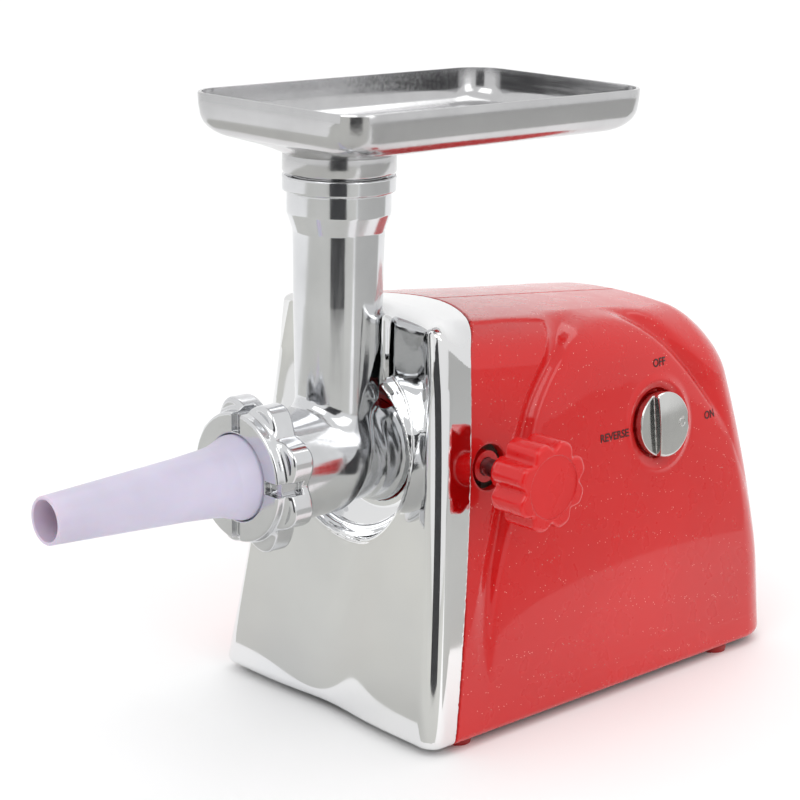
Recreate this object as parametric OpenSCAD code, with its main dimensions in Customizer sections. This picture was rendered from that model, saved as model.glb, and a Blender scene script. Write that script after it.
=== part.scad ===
// Electric meat grinder: tapered two-colour housing with a gear motor, and a removable
// aluminium grinding head that carries a feed tray, an auger and a sausage tube.
// Frame: +Z up, -Y towards the outlet, +X the side with the switch and the lock knob.
// The origin is on the table under the middle of the housing, on its plane of symmetry.

/* [Housing] */
// Half width of the housing at table height
half_w = 94; // [80:1:110]
// Half width lost per millimetre of height
side_taper = 0.117; // [0:0.001:0.2]
// Height of the underside above the table
base_z = 4.5; // [3:0.5:8]
// Height of the top line at the front edge
top_z = 237.3; // [200:0.5:280]
// Fall of the top line towards the back, in degrees
top_slope = 5.23; // [0:0.1:10]
// Wall thickness of the housing shells
wall = 3.5; // [2.5:0.1:5]
// Gap between neighbouring shells
seam = 0.4; // [0.2:0.1:1]
// Height of the rubber feet
foot_h = 4.5; // [3:0.5:8]
// Depth of the side relief around the raised cheek
relief = 2; // [0:0.1:2.2]

/* [Grinding head] */
// Height of the auger axis
axis_z = 152; // [140:0.5:170]
// Outer radius of the front barrel
barrel_r = 31; // [28:0.5:36]
// Radius of the auger chamber
chamber_r = 24.2; // [20:0.1:26]
// Outer radius of the neck that plugs into the housing
neck_r = 27; // [24:0.5:30]
// Front end of the barrel
barrel_front = -190; // [-210:1:-170]
// Back end of the neck
neck_back = -74; // [-80:1:-70]
// Position of the feed tube axis along Y
tube_y = -130.6; // [-140:0.1:-120]
// Bore radius of the feed tube
tube_bore_r = 21; // [18:0.5:22]
// Lower end of the full bore; below it the tube opens slightly towards the auger
throat_z = 184; // [178:1:200]
// Height of the feed tube's collar
collar_z = 309.8; // [280:0.1:330]

/* [Outlet] */
// Valley radius of the ring nut
nut_valley_r = 34.6; // [34:0.1:38]
// Lobe radius of the ring nut
nut_lobe_r = 43.5; // [40:0.5:48]
// Tip radius of the sausage tube
nozzle_r = 12.7; // [8:0.1:16]
// Front end of the sausage tube
nozzle_tip = -322.8; // [-360:0.1:-280]

/* [Tray] */
// Height of the tray rim
rim_z = 351.2; // [330:0.1:380]
// Half width of the tray
tray_half_w = 70.4; // [55:0.1:90]
// Front edge of the tray
tray_front = -182.6; // [-200:0.1:-160]
// Back edge of the tray
tray_back = 43; // [0:0.1:60]
// Corner radius of the tray
tray_corner = 20; // [10:1:40]
// Sheet thickness of the tray
tray_t = 1.6; // [1:0.1:3]

/* [Controls] */
// Lock knob axis along Y
knob_y = -82; // [-90:1:-70]
// Outer face of the lock knob
knob_face = 121.6; // [110:0.1:130]
// Radius of the lock knob
knob_r = 25.6; // [18:0.1:30]
// Switch dial centre along Y
dial_y = 53.7; // [30:0.1:70]
// Switch dial centre height
dial_z = 154.7; // [130:0.1:180]
// Radius of the switch dial
dial_r = 20.3; // [15:0.1:24]

/* [Gear train] */
// Teeth on the output gear
out_teeth = 64; // [48:4:64]
// Teeth on the idler pinion
pin_teeth = 14; // [12:1:16]
// Module of the output pair
out_mod = 1.5; // [1:0.25:1.5]
// Teeth on the idler gear
idl_teeth = 60; // [48:4:60]
// Teeth on the motor pinion
mot_teeth = 12; // [10:1:16]
// Module of the motor pair
mot_mod = 1; // [0.8:0.1:1.25]

/* [Hidden] */
$fn = 64;

slope = tan(top_slope);
idler_z = axis_z - out_mod * (out_teeth + pin_teeth) / 2;
motor_z = idler_z - mot_mod * (idl_teeth + mot_teeth) / 2;
side_tilt = atan(side_taper);
dial_x = 76.6;
boundary_top = -93.1;
feet_xy = [[78, -108], [-78, -108], [78, 112], [-78, 112]];
screw_xz = [for (x = [-48, 48], z = [54, 198]) [x, z]];
rods_xz = [for (x = [-36, 36], z = [-32, 32]) [x, motor_z + z]];

red = [0.75, 0.08, 0.08];
chrome = [0.82, 0.82, 0.82];
alu = [0.78, 0.79, 0.8];
steel = [0.6, 0.62, 0.65];
dark = [0.08, 0.08, 0.09];
nylon = [0.85, 0.83, 0.76];
copper = [0.72, 0.4, 0.2];
lilac = [0.83, 0.81, 0.88, 0.9];

// ---------- helpers ----------

// Cylinder or cone along Y
module ycyl(y0, y1, r, r2 = -1) {
    translate([0, y0, 0]) rotate([-90, 0, 0])
        cylinder(h = y1 - y0, r1 = r, r2 = r2 < 0 ? r : r2);
}

// Cylinder along X
module xcyl(x0, x1, r) {
    translate([x0, 0, 0]) rotate([0, 90, 0]) cylinder(h = x1 - x0, r = r);
}

// Extrudes an (x, z) outline along Y
module along_y(y0, y1) {
    translate([0, y1, 0]) rotate([90, 0, 0]) linear_extrude(y1 - y0) children();
}

// Extrudes a (y, z) outline along X
module along_x(x0, x1) {
    translate([x0, 0, 0]) rotate([90, 0, 90]) linear_extrude(x1 - x0) children();
}

// Box given by its two corners
module span(a, b) {
    translate(a) cube(b - a);
}

// Rounded rectangle with true corner arcs
module round_rect(x0, x1, y0, y1, r) {
    translate([x0 + r, y0]) square([x1 - x0 - 2 * r, y1 - y0]);
    translate([x0, y0 + r]) square([x1 - x0, y1 - y0 - 2 * r]);
    for (x = [x0 + r, x1 - r], y = [y0 + r, y1 - r]) translate([x, y]) circle(r);
}

function unit(v) = v / norm(v);
function left_of(v) = [-v[1], v[0]];

// Moves a counter-clockwise outline inwards by d
function inset(p, d) = [for (i = [0 : len(p) - 1])
    let (n = len(p), a = left_of(unit(p[i] - p[(i + n - 1) % n])),
        b = left_of(unit(p[(i + 1) % n] - p[i])), m = unit(a + b))
    p[i] + m * d / (m * a)];

// Tooth half angle at radius r of an involute gear, in degrees
function inv_deg(a) = tan(a) * 180 / PI - a;
function half_angle(r, rp, rb, teeth, slack) =
    90 / teeth - slack / rp * 180 / PI + inv_deg(20) - (r > rb ? inv_deg(acos(rb / r)) : 0);

// Spur gear outline; slack is the thickness taken off each flank at the pitch circle
module gear_outline(mod, teeth, slack) {
    rp = mod * teeth / 2;
    rb = rp * cos(20);
    root = rp - 1.3 * mod;
    tip = rp + 0.85 * mod;
    rs = [root, max(rb, root + 0.1), rp, (rp + tip) / 2, tip];
    polygon([for (t = [0 : teeth - 1], k = [0 : 9])
        let (r = k < 5 ? rs[k] : rs[9 - k], s = k < 5 ? -1 : 1,
            a = 360 * t / teeth + s * half_angle(r, rp, rb, teeth, slack))
        r * [cos(a), sin(a)]]);
}

// Gear along Y at height z, turned so that one tooth points at angle a in the XZ plane
module gear_y(z, y0, y1, mod, teeth, a) {
    translate([0, 0, z]) along_y(y0, y1) rotate(a) gear_outline(mod, teeth, 0.14);
}

// ---------- housing envelope ----------

// Outline of the housing seen from the side, as (y, z), counter-clockwise
function side_outline() = concat(
    [[-138.2, base_z], [150, base_z], [155.5, base_z + 2], [158.8, base_z + 5.5],
        [160, base_z + 10], [160.4, 40], [160, 62], [157.5, 90], [152, 120], [145, 148],
        [138, 169], [130.5, 186], [122, 198.5], [112, 207.5], [98, 214.3], [82, 218.3]],
    [[-115, top_z - 0.5], [-119.5, top_z - 2.2], [-120.8, top_z - 6], [-120.4, 200],
        [-122.6, 165], [-126.6, 122], [-131.6, 80], [-136.6, 38], [-140.7, base_z + 2.8]]);

// Half outline of the crown: sideways position and drop below the top line
crown = [[0, 0], [17, 0.2], [30, 0.9], [42, 2.8], [50.5, 5.8], [58, 10], [63.2, 15.4],
    [66.6, 22.5], [68.9, 31.5], [70.6, 42.5]];

// Front view outline at the front edge, as (x, z); it runs back along the sloping top line
function front_outline() = let (t = top_z + slope * 20, low = -20,
    wide = 70.6 + side_taper * (t - 42.5 - low))
    concat([[-wide, low], [wide, low]],
        [for (i = [len(crown) - 1 : -1 : 0]) [crown[i][0], t - crown[i][1]]],
        [for (i = [1 : len(crown) - 1]) [-crown[i][0], t - crown[i][1]]]);

// Plan view outline, as (x, y): rounded corners, and a shallow valley across the front
function arc(cx, cy, r, a0, a1, n) = [for (i = [0 : n])
    let (a = a0 + (a1 - a0) * i / n) [cx + r * cos(a), cy + r * sin(a)]];
function plan_outline() = concat(
    arc(-half_w + 12, -129.5, 11.5, 180, 270, 6), arc(half_w - 12, -129.5, 11.5, 270, 360, 6),
    arc(half_w - 28.5, 132.4, 28, 0, 90, 10), arc(-half_w + 28.5, 132.4, 28, 90, 180, 10));

// Solid envelope of the housing, moved inwards by d
module envelope(d) {
    intersection() {
        along_x(-120, 120) polygon(inset(side_outline(), d));
        translate([0, 0, slope * -161]) rotate([-top_slope, 0, 0])
            along_y(-200, 200) polygon(inset(front_outline(), d));
        linear_extrude(300) polygon(inset(plan_outline(), d));
    }
}

// Everything in front of the line where the chrome cowl meets the red shells
module cowl_zone(grow) {
    side_line = [[boundary_top, 260], [boundary_top, 222], [-94.5, 198], [-96.2, 171],
        [-102.7, 115], [-108.4, 77], [-118, 24], [-121, 0]];
    top_line = [[70.5, boundary_top], [66, -90.5], [58.6, -85], [50.5, -79.5], [42, -74.5],
        [30, -68], [17, -62], [0, -59]];
    along_x(-120, 120) polygon(concat([[-200, 0], [-200, 260]],
        [for (p = side_line) p + [grow, 0]]));
    translate([0, 0, 221]) linear_extrude(40) polygon(concat([[-70.5, -200], [70.5, -200]],
        [for (p = top_line) p + [0, grow]],
        [for (i = [len(top_line) - 2 : -1 : 0]) [-top_line[i][0], top_line[i][1] + grow]]));
}

// Recess in the cowl for the neck and, above it, for the feed tube
module well(r_front, r_floor, r_channel, floor_y) {
    translate([0, 0, axis_z]) {
        ycyl(-160, -121, r_front);
        ycyl(-121, floor_y, r_front, r_floor);
    }
    translate([0, tube_y, axis_z]) cylinder(h = 120, r = r_channel);
}

module front_cowl() color(chrome) {
    difference() {
        intersection() {
            envelope(0);
            cowl_zone(-seam / 2);
        }
        difference() {
            envelope(wall);
            well(53, 39, 30, -99.9);
        }
        well(50, 36, 27.6, -102.5);
        translate([0, 0, axis_z]) ycyl(-110, -95, 31.5);
        base_opening();
    }
}

// Outline of the raised cheek on the side, as (y, z)
cheek = [[-90, 30], [-88, 85], [-79, 110], [-67, 140], [-55, 164], [-48, 180], [-36, 196],
    [-21, 211], [-5, 220], [15, 225], [37, 222], [55, 212], [74, 196], [94, 175],
    [115, 147], [131, 118], [146, 85], [170, 30]];

// Wedge that lowers the side around the cheek; its depth grows from nothing near the base
module side_relief() {
    w60 = half_w - side_taper * 72;
    translate([w60, 0, 60]) rotate([0, -side_tilt - relief / 165 * 180 / PI, 0])
        translate([0, 0, -60]) difference() {
            along_x(0, 30) polygon([[-170, 60], [170, 60], [170, 216], [-170, 216]]);
            along_x(-1, 31) polygon(cheek);
        }
}

// Children stand on the tilted side face at the switch, with +Z along the outward normal
module at_dial() {
    translate([dial_x, dial_y, dial_z]) rotate([0, 90 - side_tilt, 0]) children();
}

// Opening in the underside that the base plate closes
module base_opening() {
    linear_extrude(base_z + wall + 1) polygon(inset(plan_outline(), 9));
}

// Posts on the side wall that take the screws of the feet
module foot_posts() {
    intersection() {
        envelope(1);
        for (y = [feet_xy[0][1], feet_xy[2][1]]) {
            translate([feet_xy[0][0], y, base_z + wall + 2.2]) cylinder(h = 20, r = 6);
            span([feet_xy[0][0], y - 1.5, base_z + wall + 2.2], [94, y + 1.5, 30]);
        }
    }
}

module shell_half() {
    difference() {
        union() {
            difference() {
                envelope(0);
                envelope(wall);
            }
            foot_posts();
        }
        cowl_zone(seam / 2);
        span([-120, -200, -10], [seam / 2, 200, 300]);
        base_opening();
        side_relief();
        for (p = feet_xy) translate([p[0], p[1], 0]) cylinder(h = 19, r = 2.15);
    }
}

module housing_right() color(red) {
    difference() {
        union() {
            shell_half();
            intersection() {
                envelope(wall - 0.5);
                at_dial() translate([0, 0, -9]) cylinder(h = 9, r = 31);
            }
        }
        translate([0, knob_y, axis_z]) xcyl(40, 110, 13);
        at_dial() {
            translate([0, 0, -3]) cylinder(h = 20, r1 = 22, r2 = 38);
            translate([0, 0, -4]) cylinder(h = 20, r = 21.2);
            translate([0, 0, -20]) cylinder(h = 30, r = 6);
        }
        inlet_hole();
    }
}

module housing_left() color(red) {
    difference() {
        mirror([1, 0, 0]) shell_half();
        inlet_hole();
    }
}

module inlet_hole() {
    translate([0, 0, 32]) ycyl(140, 170, 7.6);
}

module cord_inlet() color(dark) {
    translate([0, 0, 32]) difference() {
        union() {
            ycyl(153, 163, 7.3);
            ycyl(161, 166, 10.5, 9.5);
            ycyl(150, 156, 10.5);
        }
        ycyl(148, 168, 4);
    }
}

module base_plate() color(dark) {
    difference() {
        union() {
            translate([0, 0, base_z]) linear_extrude(wall + 1)
                polygon(inset(plan_outline(), 9.4));
            intersection() {
                envelope(wall + 0.4);
                linear_extrude(base_z + wall + 2.2) polygon(inset(plan_outline(), 6.4));
            }
            for (x = [-34, 26]) span([x, 4, 10], [x + 8, 46, 17.3]);
            span([-40, -70, 10], [40, -20, 45.8]);
        }
        for (i = [0 : 9]) span([-30, 56 + 8 * i, 0], [30, 60 + 8 * i, 30]);
        span([-36, -66, 0], [36, -24, 42]);
        for (p = feet_xy) translate([p[0], p[1], 0]) cylinder(h = 30, r = 2.6);
    }
}

module foot(p) {
    color(dark) translate([p[0], p[1], 0]) difference() {
        cylinder(h = foot_h, r1 = 8.2, r2 = 9);
        translate([0, 0, -1]) cylinder(h = 3, r = 4.6);
        cylinder(h = 20, r = 2.6);
    }
}

module foot_front_right() foot(feet_xy[0]);
module foot_front_left() foot(feet_xy[1]);
module foot_rear_right() foot(feet_xy[2]);
module foot_rear_left() foot(feet_xy[3]);

module base_screws() color(steel) {
    for (p = feet_xy) translate([p[0], p[1], 0]) {
        translate([0, 0, 0.6]) cylinder(h = 1.3, r = 4.2);
        translate([0, 0, 0.6]) cylinder(h = 17.4, r = 2.1);
    }
}

// ---------- drive ----------

// Sleeve that holds the neck, with the threaded boss of the lock screw
module neck_socket() color(red) {
    difference() {
        union() {
            translate([0, 0, axis_z]) ycyl(-99.2, -72.2, 33.5);
            translate([0, knob_y, axis_z]) xcyl(20, 70, 9);
        }
        translate([0, 0, axis_z]) ycyl(-110, -60, neck_r + 0.4);
        translate([0, knob_y, axis_z]) xcyl(0, 90, 5.3);
    }
}

module gearbox_case() color(nylon) {
    difference() {
        union() {
            span([-56, -72, 46], [56, -24, 206]);
            translate([0, 0, idler_z]) ycyl(-74, -66, 9);
        }
        span([-53, -67, 49], [53, -20, 203]);
        translate([0, 0, axis_z]) ycyl(-80, -60, 18.1);
        for (p = screw_xz) translate([p[0], 0, p[1]]) ycyl(-40, 0, 2.3);
    }
    difference() {
        union() {
            translate([0, 0, axis_z]) ycyl(-67, -60, 22);
            translate([0, 0, idler_z]) ycyl(-67, -58, 9);
            for (p = screw_xz) translate([p[0], 0, p[1]]) ycyl(-66, -24, 4.2);
        }
        translate([0, 0, axis_z]) ycyl(-80, -50, 18.1);
        translate([0, 0, idler_z]) ycyl(-66, -50, 5.3);
        for (p = screw_xz) translate([p[0], 0, p[1]]) ycyl(-40, 0, 2.3);
    }
}

module gearbox_cover() color(nylon) {
    difference() {
        union() {
            span([-56, -23.8, 46], [56, -19.8, 206]);
            translate([0, 0, axis_z]) ycyl(-21, -13, 19);
            translate([0, 0, idler_z]) ycyl(-21, -13, 9);
        }
        translate([0, 0, axis_z]) ycyl(-30, -15, 15.1);
        translate([0, 0, idler_z]) ycyl(-30, -15, 5.3);
        translate([0, 0, motor_z]) ycyl(-30, 0, 6);
        for (p = screw_xz) translate([p[0], 0, p[1]]) ycyl(-40, 0, 2.3);
    }
}

module gearbox_screws() color(steel) {
    for (p = screw_xz) translate([p[0], 0, p[1]]) {
        ycyl(-38, -19.6, 2);
        ycyl(-19.6, -16.6, 4.2);
    }
}

module bearing_front() color(steel) {
    translate([0, 0, axis_z]) difference() {
        ycyl(-71, -60, 18);
        ycyl(-80, -50, 13.35);
    }
}

module bearing_rear() color(steel) {
    translate([0, 0, axis_z]) difference() {
        ycyl(-24, -15.2, 15);
        ycyl(-30, -10, 10.35);
    }
}

module drive_shaft() color(steel) {
    translate([0, 0, axis_z]) difference() {
        union() {
            ycyl(-72, -56, 13);
            ycyl(-56, -16, 10);
        }
        rotate([0, 30, 0]) translate([0, -80, 0]) rotate([-90, 0, 0])
            cylinder(h = 22, r = 9, $fn = 6);
    }
}

module output_gear() color(nylon) {
    difference() {
        union() {
            gear_y(axis_z, -52, -38, out_mod, out_teeth, 0);
            translate([0, 0, axis_z]) ycyl(-54, -36, 16);
        }
        translate([0, 0, axis_z]) {
            ycyl(-60, -30, 10.05);
            for (i = [0 : 5]) rotate([0, 60 * i, 0]) translate([30, 0, 0]) ycyl(-60, -30, 9);
        }
    }
}

module idler_gear() color(steel) {
    translate([0, 0, idler_z]) ycyl(-65, -15.5, 5);
    difference() {
        union() {
            gear_y(idler_z, -53.5, -34, out_mod, pin_teeth, 90 + 180 / pin_teeth);
            gear_y(idler_z, -34, -26, mot_mod, idl_teeth, 0);
        }
        translate([0, 0, idler_z]) for (i = [0 : 4])
            rotate([0, 72 * i, 0]) translate([19, 0, 0]) ycyl(-60, -20, 5);
    }
}

// ---------- motor ----------

module motor_frame() color(alu) {
    difference() {
        union() {
            for (y = [-12, 78]) {
                span([-42, y, motor_z - 38], [42, y + 4, motor_z + 38]);
                translate([0, 0, motor_z]) ycyl(y - 2, y + 6, 10);
            }
            for (p = rods_xz) translate([p[0], 0, p[1]]) ycyl(-9, 79, 2.4);
        }
        translate([0, 0, motor_z]) ycyl(-30, 100, 4.3);
    }
}

module stator_core() color(steel) {
    difference() {
        span([-42, 4, motor_z - 40], [42, 50, motor_z + 40]);
        translate([0, 0, motor_z]) ycyl(0, 60, 24);
        for (s = [-1, 1]) span([-18, 0, motor_z + 27 * s - 7], [18, 60, motor_z + 27 * s + 7]);
        for (p = rods_xz) translate([p[0], 0, p[1]]) ycyl(0, 60, 2.6);
    }
}

module field_windings() color(copper) {
    for (s = [-1, 1]) difference() {
        span([-17, -4, motor_z + 29.5 * s - 4], [17, 58, motor_z + 29.5 * s + 4]);
        span([-6, 6, motor_z + 29.5 * s - 5], [6, 48, motor_z + 29.5 * s + 5]);
    }
}

module brush_holders() color(dark) {
    for (s = [-1, 1]) translate([0, 0, motor_z]) {
        span([s > 0 ? 12 : -34, 63, -5], [s > 0 ? 34 : -12, 73, 5]);
        span([s > 0 ? 24 : -34, 70, -3.5], [s > 0 ? 34 : -24, 78, 3.5]);
    }
}

module rotor() color(steel) {
    translate([0, 0, motor_z]) {
        ycyl(-35, 98, 4);
        difference() {
            ycyl(4, 50, 23.2);
            for (i = [0 : 11]) rotate([0, 30 * i, 0]) span([14, 0, -1.4], [30, 60, 1.4]);
        }
        for (y = [-2, 50]) ycyl(y, y + 6, 18, 15);
    }
    gear_y(motor_z, -35, -24.5, mot_mod, mot_teeth, 90 + 180 / mot_teeth);
}

module commutator() color(copper) {
    translate([0, 0, motor_z]) difference() {
        ycyl(61, 74.5, 11.6);
        ycyl(50, 80, 4.05);
        for (i = [0 : 11]) rotate([0, 30 * i, 0]) span([9, 60, -0.4], [14, 80, 0.4]);
    }
}

module motor_fan() color(dark) {
    translate([0, 0, motor_z]) difference() {
        union() {
            ycyl(86, 97, 9);
            ycyl(86, 88, 33);
            for (i = [0 : 8]) rotate([0, 40 * i, 0]) span([7, 87, -0.9], [33, 97, 0.9]);
        }
        ycyl(80, 100, 4.05);
    }
}

module switch_body() color(dark) {
    at_dial() difference() {
        union() {
            translate([-15, -15, -32]) cube([30, 30, 22.8]);
            for (x = [-10, 0, 10]) translate([x - 1, -3, -40]) cube([2, 6, 10]);
        }
        translate([0, 0, -26]) cylinder(h = 30, r = 4.3);
    }
}

module switch_dial() color(chrome) {
    at_dial() difference() {
        union() {
            translate([0, 0, -3.6]) cylinder(h = 9.6, r = dial_r);
            translate([0, 0, 6]) cylinder(h = 2, r1 = dial_r, r2 = dial_r - 1.6);
            translate([0, 0, -25]) cylinder(h = 24, r = 4);
        }
        translate([-30, -40, 3.4]) cube([60, 33, 10]);
        translate([0, 12, 7.4]) difference() {
            cylinder(h = 2, r = 2.6);
            translate([0, 0, -1]) cylinder(h = 4, r = 1.8);
        }
    }
}

// ---------- lock knob ----------

module lock_screw() color(steel) {
    translate([0, knob_y, axis_z]) xcyl(neck_r + 0.7, 94, 5);
}

// Radius of the knob's outline at angle a: eight soft lobes with narrow grooves between
function knob_radius(a) = knob_r - 4.2 * pow((1 - cos(8 * a)) / 2, 3);

module lock_knob() color(red) {
    translate([0, knob_y, axis_z]) rotate([0, 90, 0]) difference() {
        union() {
            translate([0, 0, 97]) linear_extrude(knob_face - 99)
                polygon([for (i = [0 : 191]) let (a = i * 1.875)
                    knob_radius(a) * [cos(a), sin(a)]]);
            translate([0, 0, knob_face - 2]) linear_extrude(2)
                polygon([for (i = [0 : 191]) let (a = i * 1.875)
                    (knob_radius(a) - 1.4) * [cos(a), sin(a)]]);
            translate([0, 0, 82]) cylinder(h = 16, r = 9);
        }
        translate([0, 0, 80]) cylinder(h = 14.6, r = 5.3);
        translate([0, 0, knob_face - 0.8]) cylinder(h = 2, r = 17.6);
    }
}

// ---------- grinding head ----------

module head_solid() {
    translate([0, 0, axis_z]) {
        intersection() {
            ycyl(barrel_front, -110, barrel_r);
            translate([0, -131, 0]) rotate([-15, 0, 0]) span([-60, -140, -80], [60, 0, 80]);
        }
        ycyl(-140, -125, 30.5, neck_r);
        ycyl(-140, neck_back, neck_r);
        difference() {
            union() {
                ycyl(-112, -104, neck_r, neck_r + 3.9);
                ycyl(-104, -100.4, neck_r + 3.9);
            }
            span([-13, -113, neck_r - 3], [15, -99, 40]);
        }
    }
    translate([0, tube_y, 0]) rotate_extrude() polygon([[0, axis_z], [23.2, axis_z],
        [23.2, 180], [24.6, 240], [25.1, 279], [28.5, 289], [28.5, 300], [31, 303],
        [31, collar_z - 1], [30.2, collar_z], [0, collar_z]]);
    along_x(-7, 7) polygon([[-131, 252], [-112, 236], [-106.4, 204], [-106, 170],
        [-131, 170]]);
}

module head_casting() color(alu) {
    difference() {
        head_solid();
        translate([0, 0, axis_z]) {
            ycyl(barrel_front - 1, -181, 27);
            ycyl(-190, -106, chamber_r);
            ycyl(-110, -60, 9.35);
            for (i = [0 : 3]) translate([0, -188 + 3 * i, 0]) difference() {
                ycyl(0, 1.2, 40);
                ycyl(-1, 3, barrel_r - 0.7);
            }
            span([-2.6, barrel_front - 1, 24], [2.6, -184.8, 29]);
        }
        translate([0, tube_y, axis_z]) cylinder(h = 200, r = tube_bore_r);
        translate([0, tube_y, axis_z]) cylinder(h = throat_z - axis_z, r = tube_bore_r + 0.6);
        translate([0, tube_y, 296]) cylinder(h = 40, r = 25.8);
    }
}

module cutting_plate() color(steel) {
    translate([0, 0, axis_z]) difference() {
        union() {
            ycyl(barrel_front, -185, 26.6);
            span([-2.2, barrel_front, 24], [2.2, -185, 28.6]);
        }
        ycyl(-200, -180, 4.4);
        for (i = [0 : 7]) rotate([0, 45 * i, 0]) translate([11.5, 0, 0]) ycyl(-200, -180, 2.6);
        for (i = [0 : 15]) rotate([0, 22.5 * i, 0]) translate([19.5, 0, 0])
            ycyl(-200, -180, 2.6);
    }
}

module auger() color(alu) {
    translate([0, 0, axis_z]) {
        ycyl(-189, -180, 4);
        span([-4.2, -184.8, -4.2], [4.2, -180, 4.2]);
        ycyl(-181, -72, 9);
        translate([0, -180.6, 0]) rotate([-90, 0, 0])
            linear_extrude(height = 74, twist = 900, slices = 90, $fn = 24)
                translate([-2.2, 0]) square([4.4, 23.6]);
        rotate([0, 30, 0]) translate([0, -74, 0]) rotate([-90, 0, 0])
            cylinder(h = 14, r = 8.4, $fn = 6);
    }
}

module cutting_blade() color(steel) {
    translate([0, 0, axis_z]) difference() {
        union() {
            ycyl(-184.8, -181.2, 9);
            for (i = [0 : 3]) rotate([0, 90 * i, 0]) span([0, -184.8, -3], [25, -181.2, 4]);
        }
        span([-4.5, -190, -4.5], [4.5, -170, 4.5]);
    }
}

// Radius of the ring nut's outline at angle a: eight broad lobes
function nut_radius(a) = nut_valley_r
    + (nut_lobe_r - nut_valley_r) * pow((1 + cos(8 * a)) / 2, 0.8);

module ring_nut() color(alu) {
    translate([0, 0, axis_z]) difference() {
        union() {
            along_y(-195, -180) polygon([for (i = [0 : 191]) let (a = i * 1.875)
                nut_radius(a) * [cos(a), sin(a)]]);
            ycyl(-202, -194, 33.4);
        }
        ycyl(-193.2, -170, 31.6);
        ycyl(-210, -190, 24);
        for (a = [0 : 90 : 270]) rotate([0, a, 0]) span([20, -203, -3.4], [36, -198, 3.4]);
    }
}

module sausage_tube() color(lilac) {
    translate([0, 0, axis_z]) rotate([-90, 0, 0]) rotate_extrude() polygon([
        [10.9, nozzle_tip], [nozzle_r, nozzle_tip], [17.1, -240], [18.8, -220],
        [20, -213], [23.4, -203], [23.6, -193], [29.5, -193], [29.5, -190.2],
        [21.6, -190.2], [21.4, -203], [17.4, -214], [16.4, -221], [15, -240], [10.9, -312]]);
}

// ---------- feed tray ----------

module tray_outline(d, r = tray_corner) {
    round_rect(-tray_half_w + d, tray_half_w - d, tray_front + d, tray_back - d, r - d);
}

// Funnel floor: from the rounded rectangle at height z down to the spout
module tray_floor(d, z) {
    hull() {
        translate([0, 0, z]) linear_extrude(1.2) tray_outline(4 + d, $fn = 48);
        translate([0, 0, z - 2.5]) linear_extrude(1) tray_outline(9 + d, $fn = 48);
        translate([0, tube_y, z - 14]) cylinder(h = 1, r = 27 - d, $fn = 48);
    }
}

module feed_tray() color(alu) {
    difference() {
        union() {
            translate([0, 0, rim_z - 1.8]) linear_extrude(1.8) tray_outline(0);
            translate([0, 0, rim_z - 16]) linear_extrude(15) tray_outline(2.4);
            difference() {
                tray_floor(0, rim_z - 17);
                tray_floor(tray_t, rim_z - 15.2);
            }
            translate([0, tube_y, 311.2]) cylinder(h = 11, r = 31);
            translate([0, tube_y, 297]) cylinder(h = 22, r = 25.4);
            translate([0, tube_y, 318]) cylinder(h = 4, r = 29);
        }
        translate([0, 0, rim_z - 15.9]) linear_extrude(30) tray_outline(2.4 + tray_t);
        translate([0, tube_y, 290]) cylinder(h = 35, r = 23.6);
        translate([0, tube_y, 320]) cylinder(h = 16, r = 24);
    }
}

// ---------- output ----------

front_cowl();
housing_right();
housing_left();
base_plate();
foot_front_right();
foot_front_left();
foot_rear_right();
foot_rear_left();
base_screws();
neck_socket();
gearbox_case();
gearbox_cover();
gearbox_screws();
bearing_front();
bearing_rear();
drive_shaft();
output_gear();
idler_gear();
motor_frame();
stator_core();
field_windings();
brush_holders();
rotor();
commutator();
motor_fan();
switch_body();
cord_inlet();
head_casting();
cutting_plate();
auger();
cutting_blade();
ring_nut();
sausage_tube();
feed_tray();
lock_screw();
lock_knob();
switch_dial();
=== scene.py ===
"""Electric meat grinder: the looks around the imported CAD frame.

Shapes are worked out in millimetres in the CAD frame (+Z up, -Y towards the outlet, +X the
side with the switch) and are turned into metres when a mesh is made. Most visible castings
and mouldings are level sets of signed distance formulas, meshed by surface nets.
"""

import math

import bpy
import numpy as np
from mathutils import Matrix, Vector


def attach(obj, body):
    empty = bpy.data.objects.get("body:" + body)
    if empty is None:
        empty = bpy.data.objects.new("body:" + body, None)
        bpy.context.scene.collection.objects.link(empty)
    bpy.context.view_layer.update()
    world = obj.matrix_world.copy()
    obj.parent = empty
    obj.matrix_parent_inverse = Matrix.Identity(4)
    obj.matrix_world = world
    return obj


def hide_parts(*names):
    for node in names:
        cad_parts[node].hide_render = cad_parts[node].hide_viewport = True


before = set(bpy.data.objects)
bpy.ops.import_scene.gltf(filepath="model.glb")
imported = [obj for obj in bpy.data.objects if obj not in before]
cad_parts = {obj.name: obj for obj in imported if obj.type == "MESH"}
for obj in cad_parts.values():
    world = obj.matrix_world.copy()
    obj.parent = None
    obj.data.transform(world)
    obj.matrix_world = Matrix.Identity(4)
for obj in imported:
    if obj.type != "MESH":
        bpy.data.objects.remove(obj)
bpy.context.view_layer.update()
MM = 0.001
COARSE = 1.0  # grid steps grow while trying things

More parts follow.
